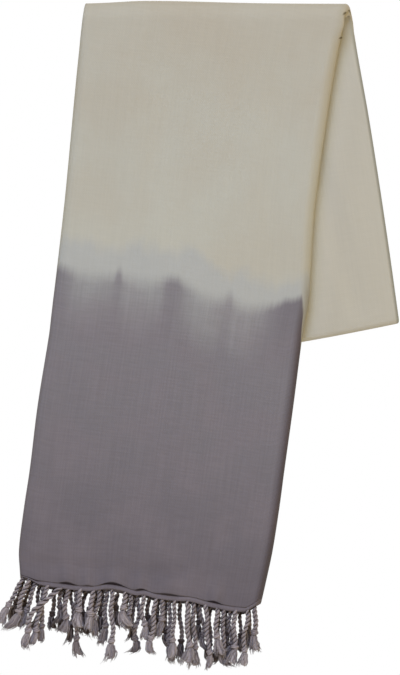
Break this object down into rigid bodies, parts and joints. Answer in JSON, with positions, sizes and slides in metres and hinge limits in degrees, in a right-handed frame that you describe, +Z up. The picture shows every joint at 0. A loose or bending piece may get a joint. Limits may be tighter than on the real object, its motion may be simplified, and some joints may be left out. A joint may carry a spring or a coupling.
{
  "type": "hammam towel",
  "caption": "Dip-dyed flat-woven hammam towel, folded lengthwise, doubled and hung askew over a slim bar, with knotted fringes at the foot of its front flap.",
  "frame": {"origin": "middle of the line inside the top fold, on the underside of the cloth where a slim bar would carry it", "axes": "+Z up, +X to the right seen from the front, +Y away from the viewer, so the front flap faces -Y and the bar runs along X"},
  "size_m": [0.3964, 0.0485, 0.658],
  "materials": {
    "cloth": "flat-woven cotton, undyed above and dipped grey below",
    "yarn": "twisted and knotted cotton warp yarn, dipped grey"
  },
  "bodies": {
    "root": {"towel_cloth": "cloth", "outer_fringe": "yarn", "inner_fringe": "yarn"}
  },
  "joints": []
}
